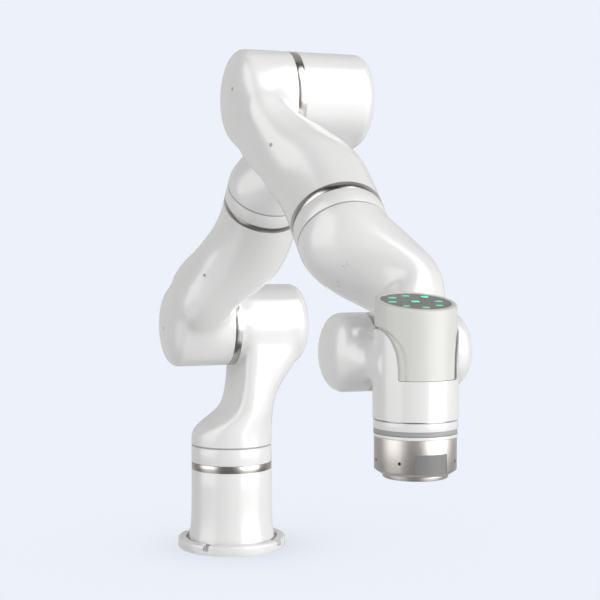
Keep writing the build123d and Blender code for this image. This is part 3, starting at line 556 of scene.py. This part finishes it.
def wrist_body(x, y, z):
    wrist_r, tool_r = wrist_radii(x, y, z)
    barrel = np.maximum(barrel_field(x, wrist_r, **WRIST_DOME), x - WRIST_FACE_X)
    neck = np.maximum(np.maximum(neck_field(neck_sections, x, z, y), y - 70), -y - 12)
    column = np.maximum(np.maximum(tool_r - COLUMN_RADIUS, -z - 63), z - COLUMN_TOP)
    return smooth_min(smooth_min(barrel, neck, 2.0), column, 11.0)


def wrist_cut(x, y, z):
    wrist_r, tool_r = wrist_radii(x, y, z)
    half_width = np.interp(z, COVER_OUTLINE[:, 0], COVER_OUTLINE[:, 1]) + SEAT_GAP
    seat = np.minimum(np.minimum(half_width - np.abs(x), y - TOOL_REACH),
                      np.minimum(z - COVER_BOTTOM + SEAT_GAP, tool_r - SEAT_RADIUS))
    scoop = np.minimum(SCOOP_RADIUS - wrist_r, x - SCOOP_X)
    bore = np.maximum(np.maximum(tool_r - COLUMN_BORE, -z - 70), z + 6)
    hollow = np.maximum(barrel_field(x, wrist_r, inset=WRIST_WALL, **WRIST_DOME), x + 10)
    # the top cut spares the barrel and the back of the neck
    top = np.where((tool_r > 36) & (y < 30), -50, z - COLUMN_TOP)
    removed = np.maximum(np.maximum(COLUMN_BOTTOM - z, top), seat)
    return np.maximum(np.maximum(removed, scoop), -np.minimum(bore, hollow))


points, quads = implicit_mesh(wrist_body, wrist_cut, (-72, -42, -64), (46, 112, 42), step=1.5)
wrist = cast("wrist_casting", points, quads, WRIST, X, FORWARD, Z)
register(wrist, "wrist", "white", "wrist_casing")

# Core of the column under the cover: distance below the wrist axis, radius
CORE_PROFILE = [(-44, 28), (-44, 34.6), (-43, 35.6), (58, 35.6), (58, 35.1), (-42, 34.6), (-42, 28)]
register(lathe("wrist_core", TOOL, DOWN, CORE_PROFILE, segments=160), "wrist", "white")

# ------------------------------------------------------------------ grip cover
PANEL_HEIGHT = 52.4                # panel centre above the wrist axis
PANEL_THICKNESS = 2.6
TILT_SIN, TILT_COS = sin(radians(11)), cos(radians(11))  # the panel tips towards the front
COVER_RADIUS = 38.5
COVER_BORE = 36.0
COVER_SKIRT_Z = 28.5               # below this the cover is open at the back
COVER_RIM = 0.8                    # above the panel plane
COVER_TOP_BLEND = 2.6
RECESS_RADIUS = 34.4
RAISE_HALF_WIDTH = 0.9             # 1 mm step up to the raised inner area
GROOVE_AT, GROOVE_SIZE = 0.6, 0.8  # groove round it: place, then both width and depth
FAR = 6.0                          # stands for a field well away from its surface

cover_outer = smooth_table(COVER_OUTLINE, sigma=2.0, step=0.25, margin=12)
cover_inner = smooth_table(COVER_INNER, sigma=2.0, step=0.25, margin=12)


def panel_coordinates(y, z):
    """Distance forward in the panel plane and height above it."""
    ahead, above = y - TOOL_REACH, z - PANEL_HEIGHT
    return ahead * TILT_COS - above * TILT_SIN, ahead * TILT_SIN + above * TILT_COS


def cover_body(x, y, z):
    tool_r = wrist_radii(x, y, z)[1]
    edge = np.where(y > TOOL_REACH, np.abs(x) - cover_inner(z)[0], 8.0)
    above = np.minimum(edge, np.maximum((28.9 - z) * 0.9, -FAR))
    edge = np.where(z > COVER_SKIRT_Z, above, edge)
    raised = np.clip((RAISE_HALF_WIDTH - edge) / (2 * RAISE_HALF_WIDTH), 0, 1)
    raised = raised * raised * (3 - 2 * raised)
    groove = GROOVE_SIZE * np.exp(-((edge - GROOVE_AT) / GROOVE_SIZE) ** 2)
    radius = COVER_RADIUS + raised - groove
    top = panel_coordinates(y, z)[1] - COVER_RIM
    return -smooth_min(-(tool_r - radius), -top, COVER_TOP_BLEND)


def cover_cut(x, y, z):
    tool_r = wrist_radii(x, y, z)[1]
    ahead, above = panel_coordinates(y, z)
    sides = np.where(y > TOOL_REACH, np.abs(x) - cover_outer(z)[0], FAR)
    side = np.where(z < COVER_SKIRT_Z, np.maximum(sides, TOOL_REACH - y), -FAR)
    side = np.maximum(side, np.where(y < TOOL_REACH, COVER_SKIRT_Z - z, -FAR))
    bore = np.where(above < -6, COVER_BORE - tool_r, -3.0)
    recess = np.minimum(RECESS_RADIUS - np.sqrt(x * x + ahead * ahead), above + PANEL_THICKNESS)
    return np.maximum(np.maximum(np.maximum(side, COVER_BOTTOM - z), bore), recess)


points, quads = implicit_mesh(cover_body, cover_cut, (-42, 24, -27), (42, 110, 64), step=0.9)
cover = cast("grip_cover_shell", points, quads, WRIST, X, FORWARD, Z)
register(cover, "wrist", "grip", "grip_cover")

# ------------------------------------------------------------------ key panel
PANEL_PLANE = (TOOL + PANEL_HEIGHT * Z, X, np.array([0, TILT_COS, TILT_SIN]),
               np.array([0, -TILT_SIN, TILT_COS]))
KEY_CIRCLE = 24.0                  # radius on which the marks and the side key sit
KEY_GAP = 0.22
# Marks: angle in degrees, length, width
MARKS = [(90, 7.6, 5.0), (135, 8.6, 4.8), (180, 8.8, 4.6), (225, 7.4, 4.4), (270, 7.8, 4.8),
         (315, 8.0, 4.4), (0, 8.2, 4.8)]
# Keys: name, x, y, radius, mark offset, mark length, mark width
KEYS = [("centre", 0.0, 0.0, 6.3, (-1.2, -1.6), 8.4, 5.4),
        ("side", KEY_CIRCLE * cos(pi / 4), KEY_CIRCLE * sin(pi / 4), 4.3, (0, 0), 7.8, 6.4)]


def panel_mark(name, length, width, centre, bottom, top, bevel):
    reach = length / 2 - width / 2
    outline = stadium(-reach, reach, width / 2, 10, centre=centre)
    return slab(name, outline, bottom, top, bevel, PANEL_PLANE)


panel = slab("panel_disc", circle(34.2, 128), -PANEL_THICKNESS, 0.0, 0.3, PANEL_PLANE)
register(panel, "wrist", "panel", "key_panel")
carve(panel, [slab("key_hole_" + name, circle(radius + KEY_GAP, 96, (x, y)), -4.0, 1.5, 0.05,
                   PANEL_PLANE) for name, x, y, radius, *_ in KEYS])

for i, (angle, length, width) in enumerate(MARKS):
    centre = (KEY_CIRCLE * cos(radians(angle)), KEY_CIRCLE * sin(radians(angle)))
    mark = panel_mark("panel_mark_%d" % (i + 1), length, width, centre,
                      bottom=-0.5, top=0.12, bevel=0.1)
    register(mark, "wrist", "light", None if i else "panel_lights")
for name, x, y, radius, offset, length, width in KEYS:
    key = slab("key_cap_" + name, circle(radius, 64, (x, y)), -2.0, 0.5, 0.35, PANEL_PLANE)
    register(key, "push_key_" + name, "panel", "key_" + name)
    mark = panel_mark("key_mark_" + name, length, width, (x + offset[0], y + offset[1]),
                      bottom=0.2, top=0.56, bevel=0.06)
    register(mark, "push_key_" + name, "light", look="bright")

# ------------------------------------------------------------------ steel bands and rings
BAND_INSET = 0.1                   # below the skin of the castings
# name, origin, axis, start, end, casting radius, depth, body, node, brushing direction
BANDS = [
    ("pedestal_band", BASE, Z, 112.85, 122.75, BARREL_RADIUS, 10, "base", "j1_band", "z"),
    ("upper_arm_band", SHOULDER, UPPER, 225.05, 233.25, UPPER_TUBE_RADIUS, 10,
     "link2", "j3_band", "u"),
    ("forearm_band", ELBOW, FORE, 218.55, 228.45, FOREARM_TUBE_RADIUS, 10,
     "link4", "j5_band", "f"),
    ("shoulder_ring", SHOULDER, X, -8.95, 0.95, BARREL_RADIUS, 10, "link1", "j2_ring", "x"),
    ("elbow_ring", ELBOW, X, -8.95, 0.95, BARREL_RADIUS, 10, "link3", "j4_ring", "x"),
    ("wrist_ring", WRIST, X, -26.95, -21.45, WRIST_RADIUS, 9, "link5", "j6_ring", "x")]
for name, origin, axis, start, end, radius, depth, body_name, node, look in BANDS:
    profile = ring_profile(start, end, radius - BAND_INSET, depth, bevel=0.35)
    register(lathe(name, origin, axis, profile), body_name, "steel", node, look)

# ------------------------------------------------------------------ pedestal
GROUND_PLANE = (BASE, X, Y, Z)
BACK_PLANE = (BASE, -X, Z, Y)
FOOT_HOLE_CIRCLE = 69              # radius of the hole centres and the slots' inner ends

foot_profile = [(0, 54), (0, 76.3), (0.3, 77.1), (1.0, 77.5), (10.3, 77.5)]   # z, radius
foot_profile += [(10.5 + 3.5 * sin(a), 74 + 3.5 * cos(a)) for a in np.linspace(0.12, pi / 2, 7)]
foot_profile += [(14, 66.3), (13.7, 66), (10, 66), (10, 62), (15.1, 62), (15.4, 61.85)]
foot_profile += [(z, BARREL_RADIUS + 4 * np.exp(-(z - 15.5) / 16.0))
                 for z in np.linspace(16, 90, 26)]
foot_profile += [(112.3, 58), (112.65, 57.85), (112.8, 57.5), (112.8, 52), (4, 52), (4, 54)]
pedestal = lathe("pedestal_casting", BASE, Z, foot_profile)
cutters = []
for i in range(4):
    angle = radians(45 + 90 * i)
    cutters.append(slab("slot", stadium(FOOT_HOLE_CIRCLE, 92, 5.75, 14, angle), 6, 30,
                        CUTTER_BEVEL, GROUND_PLANE))
    centre = (FOOT_HOLE_CIRCLE * cos(angle), FOOT_HOLE_CIRCLE * sin(angle))
    cutters.append(slab("hole", circle(3.3, 32, centre), -3, 9, CUTTER_BEVEL, GROUND_PLANE))
cutters.append(slab("window", [(-22, 20), (22, 20), (22, 50), (-22, 50)], 30, 80, CUTTER_BEVEL,
                    BACK_PLANE))
carve(pedestal, cutters)
register(pedestal, "base", "white", "base_casing")

# ------------------------------------------------------------------ tool end
# Turned parts: name, body, slot, node, profile of (distance below the wrist axis, radius)
TURNED = [
    ("tool_column_collar", "wrist", "white", "j7_collar",
     [(59.65, 32), (59.65, 40.2), (59.8, 40.5), (60.1, 40.6), (67.1, 40.6), (67.4, 40.5),
      (67.55, 40.2), (67.55, 32)]),
    ("tool_column_seal", "wrist", "seal", "j7_seal",
     [(67.6, 32), (67.6, 39.8), (67.9, 40.1), (71.7, 40.1), (72.0, 39.8), (72.0, 32)]),
    ("tool_ring", "tool", "white", "flange_ring",
     [(72.35, 34.2), (72.35, 40.2), (72.5, 40.4), (72.8, 40.5), (75.0, 40.5), (75.3, 40.4),
      (75.45, 40.2), (75.45, 34.2)])]
FLANGE_PROFILE = [
    (75.5, 31), (75.5, 39.25), (75.6, 39.5), (75.85, 39.6), (106.7, 39.6), (107.0, 39.5),
    (107.2, 39.3), (110.3, 34.8), (110.5, 34.4), (110.5, 32.9), (110.7, 32.6), (111.3, 32.6),
    (111.3, 31.5), (114.2, 31.5), (114.7, 31.3), (115, 30.8), (115, 16.1), (114.7, 15.75),
    (109, 15.75), (109, 9), (104, 9), (104, 31)]
FLANGE_PLANE = (TOOL, X, FORWARD, DOWN)
FLANGE_HOLE_CIRCLE = 25
FLANGE_HOLE_RADIUS = 3.0
SIDE_HOLE_DROP = 97.5              # below the wrist axis

for name, body_name, slot, node, profile in TURNED:
    register(lathe(name, TOOL, DOWN, profile), body_name, slot, node)
flange = lathe("tool_flange", TOOL, DOWN, FLANGE_PROFILE)
register(flange, "tool", "steel", "flange_body", look="tool")
cutters = []
for name, angle, start in (("hole", 45, 105), ("hole", 135, 105), ("hole", 225, 105),
                           ("hole", 315, 105), ("dowel", 0, 109)):
    centre = (FLANGE_HOLE_CIRCLE * cos(radians(angle)), FLANGE_HOLE_CIRCLE * sin(radians(angle)))
    cutters.append(slab(name, circle(FLANGE_HOLE_RADIUS, 32, centre), start, 125, CUTTER_BEVEL,
                        FLANGE_PLANE))
cutters.append(slab("window", [(-16.1, -107.5), (16.1, -107.5), (16.1, -88.9), (-16.1, -88.9)],
                    25, 60, CUTTER_BEVEL, (TOOL, X, Z, FORWARD)))
for angle in (-136, -184, -44, 4):
    outward = np.array([cos(radians(angle)), sin(radians(angle)), 0])
    plane = (TOOL - SIDE_HOLE_DROP * Z, np.cross(Z, outward), Z, outward)
    cutters.append(slab("set", circle(1.6, 24), 36, 60, CUTTER_BEVEL, plane))
carve(flange, cutters)

# ------------------------------------------------------------------ small screw plugs
# name, casting, body, origin, direction, distance along the link, y across it
PLUGS = [
    ("forearm_plug_1", forearm_upper, "link4", ELBOW, FORE, 14, 22),
    ("forearm_plug_2", forearm_upper, "link4", ELBOW, FORE, 124, 26),
    ("upper_arm_plug_1", upper_arm_lower, "link2", SHOULDER, UPPER, 125, -26),
    ("upper_arm_plug_2", upper_arm_lower, "link2", SHOULDER, UPPER, 4, -8)]


def plug(name, host, body_name, origin, along, distance, across):
    """Flush disc on the casting skin, found by looking along +X from the low-x side."""
    eye = origin + along * distance + np.cross(along, X) * across - X * 200
    hit, place, normal, _ = host.ray_cast(Vector(eye / 1000), Vector((1, 0, 0)))
    if not hit:                    # no skin at this place, so no plug
        return
    normal = np.array(normal)
    x_axis = np.cross(normal, Z)
    x_axis /= np.linalg.norm(x_axis)
    plane = (np.array(place) * 1000, x_axis, np.cross(normal, x_axis), normal)
    register(slab(name, circle(2.5, 36), -1.2, 0.05, 0.25, plane), body_name, "seal")


bpy.context.view_layer.update()
for row in PLUGS:
    plug(*row)


# ------------------------------------------------------------------ shader graphs
def linear(colour):
    """Linear values of an 8-bit sRGB colour."""
    return tuple(v / 12.92 if v <= 0.04045 else ((v + 0.055) / 1.055) ** 2.4
                 for v in [c / 255 for c in colour])


class Graph:
    """An emptied shader tree, with short calls for its nodes."""

    def __init__(self, owner, coordinates="Object"):
        owner.use_nodes = True
        self.tree = owner.node_tree
        self.tree.nodes.clear()
        self.place = self.add("TexCoord")[coordinates]

    def add(self, kind, inputs=None, **settings):
        """Adds a node, links or sets its inputs and returns its outputs."""
        node = self.tree.nodes.new("ShaderNode" + kind)
        for key, value in settings.items():
            setattr(node, key, value)
        for socket, value in (inputs or {}).items():
            if isinstance(value, bpy.types.NodeSocket):
                self.tree.links.new(value, node.inputs[socket])
            else:
                node.inputs[socket].default_value = value
        return node.outputs

    def math(self, operation, *values):
        return self.add("Math", dict(enumerate(values)), operation=operation)[0]

    def dot(self, axis):
        inputs = {0: self.place, 1: tuple(axis)}
        return self.add("VectorMath", inputs, operation="DOT_PRODUCT")["Value"]

    def noise(self, scale, detail=3.0, rough=0.5):
        return self.add("TexNoise", {"Vector": self.place, "Scale": scale, "Detail": detail,
                                     "Roughness": rough})["Fac"]

    def ramp(self, value, low, high):
        return self.add("MapRange", {0: value, 1: 0.3, 2: 0.7, 3: low, 4: high})[0]

    def smooth(self, value, start, end):
        return self.add("MapRange", {0: value, 1: start, 2: end},
                        interpolation_type="SMOOTHSTEP")[0]

    def mix(self, share, first, second):
        inputs = {0: share, 6: (*first, 1), 7: (*second, 1)}
        return self.add("Mix", inputs, data_type="RGBA")[2]

    def bump(self, height, strength, distance):
        return self.add("Bump", {"Height": height, "Strength": strength,
                                 "Distance": distance})[0]


def principled(material, graph, inputs):
    graph.add("OutputMaterial", {0: graph.add("BsdfPrincipled", inputs)[0]})
    return material


# ------------------------------------------------------------------ materials
def surface(name, colour, rough, metal=0.0, coat=0.0, coat_rough=0.06, vary=0.04,
            rough_vary=0.06, grain=900, bump=0.02, patches=9.0):
    """Slightly uneven paint, plastic or metal; patches and grain are noise scales."""
    material = bpy.data.materials.new(name)
    graph = Graph(material)
    dark = tuple(c * (1 - vary) for c in colour)
    light = tuple(min(1, c * (1 + vary * 0.4)) for c in colour)
    wear = graph.noise(patches * 14, detail=5.0, rough=0.6)
    inputs = {
        "Base Color": graph.mix(graph.noise(patches, detail=4.0), dark, light),
        "Roughness": graph.ramp(wear, max(rough - rough_vary, 0.02), rough + rough_vary),
        "Metallic": metal,
        "Coat Weight": coat,
        "Normal": graph.bump(graph.noise(grain, detail=2.0), bump, distance=0.0004)}
    if coat:
        inputs["Coat Roughness"] = coat_rough
    return principled(material, graph, inputs)


def brushed(name, axis, colour=(0.60, 0.575, 0.555), rough=0.2):
    """Steel with fine turning lines stacked along an axis."""
    material = bpy.data.materials.new(name)
    graph = Graph(material)
    lines = graph.add("TexNoise", {"W": graph.dot(axis), "Scale": 3200, "Detail": 3},
                      noise_dimensions="1D")["Fac"]
    dark = tuple(c * 0.9 for c in colour)
    return principled(material, graph, {
        "Base Color": graph.mix(graph.noise(26.0), dark, colour),
        "Roughness": graph.ramp(lines, rough - 0.04, rough + 0.07),
        "Metallic": 1.0,
        "Anisotropic": 0.35,
        "Normal": graph.bump(lines, strength=0.12, distance=0.0001)})


def lit(name, colour, strength, glow):
    """Glowing mark."""
    material = bpy.data.materials.new(name)
    graph = Graph(material)
    patches = graph.noise(700.0, detail=2.0)
    return principled(material, graph, {
        "Base Color": graph.mix(patches, tuple(c * 0.8 for c in colour), colour),
        "Emission Color": graph.mix(patches, glow, colour),
        "Roughness": graph.ramp(graph.noise(300.0), 0.3, 0.5),
        "Emission Strength": strength})


materials = {
    "white": surface("white_gloss_paint", (0.79, 0.79, 0.795), rough=0.32, coat=0.9,
                     coat_rough=0.08, vary=0.012, rough_vary=0.03, bump=0.004, grain=240,
                     patches=4.0),
    "grip": surface("warm_grey_satin", (0.66, 0.66, 0.645), rough=0.42, coat=0.12,
                    coat_rough=0.3, vary=0.03, bump=0.04, grain=1800),
    "panel": surface("dark_panel", (0.20, 0.195, 0.20), rough=0.42, vary=0.08, bump=0.05,
                     grain=2200),
    "seal": surface("grey_seal", (0.36, 0.37, 0.375), rough=0.5, vary=0.08, bump=0.08,
                    grain=1500),
    "grey": surface("connector_grey", (0.20, 0.20, 0.20), rough=0.5, vary=0.07, bump=0.07,
                    grain=1700),
    "black": surface("moulded_black", (0.02, 0.02, 0.022), rough=0.45, vary=0.2, bump=0.08,
                     grain=1500),
    "iron": surface("machined_metal", (0.50, 0.51, 0.53), rough=0.34, metal=1.0, vary=0.12,
                    bump=0.05, grain=700),
    "z": brushed("brushed_steel_z", Z, rough=0.26),
    "tool": brushed("brushed_steel_tool", Z, colour=(0.64, 0.61, 0.59), rough=0.40),
    "u": brushed("brushed_steel_u", UPPER),
    "f": brushed("brushed_steel_f", FORE),
    "x": brushed("brushed_steel_x", X),
    "light": lit("green_light", linear((60, 205, 160)), strength=0.62,
                 glow=linear((80, 215, 170))),
    "bright": lit("green_light_bright", linear((30, 238, 170)), strength=0.95,
                  glow=linear((50, 245, 180)))}
materials["steel"] = materials["z"]


def paint(part, key):
    part.data.materials.clear()
    part.data.materials.append(materials[key])


for part, key in painted:
    paint(part, key)
# frame pieces that are still shown keep their own slot, except the screws
slots = {row["node"]: row["material_slot"] for row in frame["record"]["subparts"]}
for name, part in frame["nodes"].items():
    if not part.hide_render:
        paint(part, "black" if name == "flange_screws" else slots[name])

# ------------------------------------------------------------------ floor (metres)
BACKDROP = (*linear((236, 241, 250)), 1)
WARM_WHITE = (1.0, 0.995, 0.985, 1)
FLOOR_HALF, FLOOR_Z = 12.0, -0.0004
FLOOR_BOUNCE = 0.54                # strength of the floor as a light on the arm


def shadow(graph, centre, radii, strength):
    """Soft elliptical darkening of the floor."""
    place = graph.add("Mapping", {0: graph.place, "Location": (*centre, 0),
                                  "Rotation": (0, 0, 0), "Scale": (*radii, 1)},
                      vector_type="TEXTURE")[0]
    distance = graph.add("VectorMath", {0: place}, operation="LENGTH")["Value"]
    square = graph.math("MULTIPLY", distance, distance)
    falloff = graph.math("EXPONENT", graph.math("MULTIPLY", square, -1.0))
    return graph.math("MULTIPLY", falloff, strength)


def build_floor():
    mesh = bpy.data.meshes.new("floor_mesh")
    corners = [(-1, -1), (1, -1), (1, 1), (-1, 1)]
    mesh.from_pydata([(x * FLOOR_HALF, y * FLOOR_HALF, FLOOR_Z) for x, y in corners], [],
                     [(0, 1, 2, 3)])
    floor = bpy.data.objects.new("floor", mesh)
    scene.collection.objects.link(floor)
    material = bpy.data.materials.new("pale_floor")
    graph = Graph(material)
    contact = shadow(graph, centre=(0.004, -0.004), radii=(0.088, 0.088), strength=0.20)
    wide = shadow(graph, centre=(0.06, 0.02), radii=(0.24, 0.2), strength=0.025)
    level = graph.math("SUBTRACT", 1.0, graph.math("ADD", contact, wide))
    seen = graph.add("Emission", {0: BACKDROP, 1: level})[0]
    bounce = graph.add("Emission", {0: WARM_WHITE,
                                    1: graph.math("MULTIPLY", level, FLOOR_BOUNCE)})[0]
    camera_ray = graph.add("LightPath")["Is Camera Ray"]
    mixed = graph.add("MixShader", {0: camera_ray, 1: bounce, 2: seen})[0]
    graph.add("OutputMaterial", {0: mixed})
    mesh.materials.append(material)
    floor.visible_glossy = False


build_floor()

# ------------------------------------------------------------------ studio light
CAMERA_HEADING = radians(18.92)    # turned from +Y towards +X


def build_world():
    """Softboxes painted on the sky, placed by azimuth from the camera and by height."""
    world = bpy.data.worlds.new("studio")
    scene.world = world
    graph = Graph(world, "Generated")
    right = graph.dot((cos(CAMERA_HEADING), -sin(CAMERA_HEADING), 0))
    back = graph.dot((-sin(CAMERA_HEADING), -cos(CAMERA_HEADING), 0))
    up = graph.dot((0, 0, 1))
    # degrees: 0 towards the camera, positive to the camera's right
    azimuth = graph.math("MULTIPLY", graph.math("ARCTAN2", right, back), 180 / pi)

    def window(value, low, high, soft):
        opened = graph.smooth(value, low - soft, low + soft)
        closed = graph.smooth(value, high - soft, high + soft)
        return graph.math("MULTIPLY", opened, graph.math("SUBTRACT", 1.0, closed))

    def softbox(sides, heights, soft=(5.0, 0.06)):
        return graph.math("MULTIPLY", window(azimuth, *sides, soft[0]),
                          window(up, *heights, soft[1]))

    def total(ambient, lights):
        level = None
        for strength, light in lights:
            part = graph.math("MULTIPLY", light, strength)
            level = part if level is None else graph.math("ADD", level, part)
        return graph.math("ADD", level, ambient)

    diffuse = total(0.35, [
        (7.1, softbox((33, 86), (-0.34, 0.32))),     # key, camera right
        (1.5, softbox((-88, -34), (-0.32, 0.60))),   # fill, camera left
        (0.38, window(azimuth, -60, 80, 30.0)),      # front fill
        (-0.12, graph.smooth(up, 0.3, 0.75))])       # less from above
    glossy = total(0.17, [
        (4.9, softbox((31, 84), (-0.14, 0.91), (3.0, 0.035))),   # key, and its lower part
        (1.0, softbox((29, 84), (-0.70, -0.12), (8.0, 0.08))),
        (2.2, softbox((-92, -42), (-0.12, 0.85), (6.0, 0.08))),  # fill, and its lower part
        (0.7, softbox((-92, -42), (-0.70, -0.10), (8.0, 0.08))),
        (0.42, graph.smooth(graph.math("ABSOLUTE", azimuth), 100, 150)),  # behind the arm
        (-0.14, graph.smooth(up, 0.55, 0.7))])                   # less from above
    rays = graph.add("LightPath")
    level = graph.add("Mix", {0: rays["Is Glossy Ray"], 2: diffuse, 3: glossy},
                      data_type="FLOAT")[0]
    light = graph.add("Background", {0: WARM_WHITE, 1: level})[0]
    seen = graph.add("Background", {0: BACKDROP, 1: 1.0})[0]
    mixed = graph.add("MixShader", {0: rays["Is Camera Ray"], 1: light, 2: seen})[0]
    graph.add("OutputWorld", {0: mixed})


build_world()

# ------------------------------------------------------------------ view and camera
scene.view_settings.view_transform = "Standard"
scene.view_settings.look = "None"

lens = bpy.data.cameras.new("camera")
lens.lens = 74.89
lens.sensor_width = 36.0
camera = bpy.data.objects.new("camera", lens)
scene.collection.objects.link(camera)
camera.location = (-0.4903, -1.7367, 0.4274)
camera.rotation_euler = (radians(87.72), 0, -CAMERA_HEADING)
scene.camera = camera
